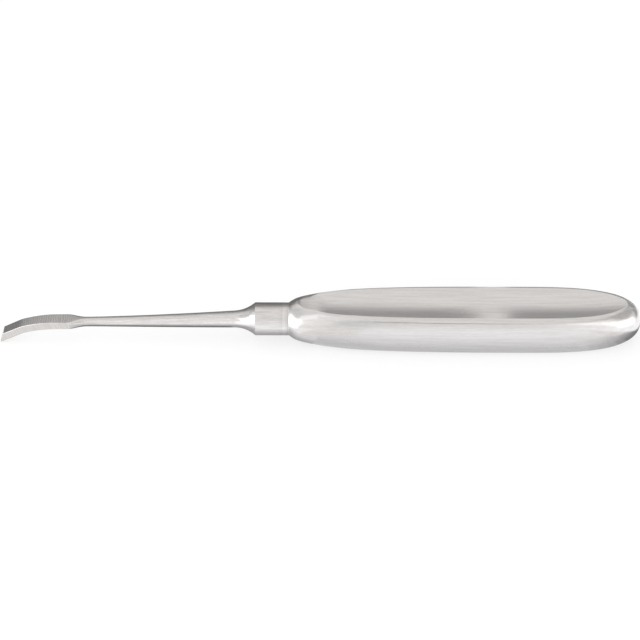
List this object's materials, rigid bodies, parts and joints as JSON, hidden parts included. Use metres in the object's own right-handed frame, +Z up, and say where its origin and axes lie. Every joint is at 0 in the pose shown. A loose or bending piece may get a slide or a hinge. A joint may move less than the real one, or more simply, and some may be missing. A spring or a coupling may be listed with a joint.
{
  "type": "periosteal elevator",
  "caption": "Surgical hand tool: slim curved blade with a bevelled edge on a tapered round shank, set in a hollow oval steel handle with dished faces.",
  "frame": {"origin": "middle of the box in X and Y, on the surface that the instrument lies on", "axes": "+X along the instrument towards the handle's butt, with the blade's edge at -X; +Y across it; +Z up, square to the handle's dished faces, with the blade bent downwards"},
  "size_m": [0.1904, 0.0194, 0.0137],
  "materials": {
    "handle": "satin brushed stainless steel, brushed along the handle",
    "blade_shank": "fine ground and turned stainless steel, brighter than the handle"
  },
  "bodies": {
    "root": {"handle": "handle", "blade_shank": "blade_shank"}
  },
  "joints": []
}
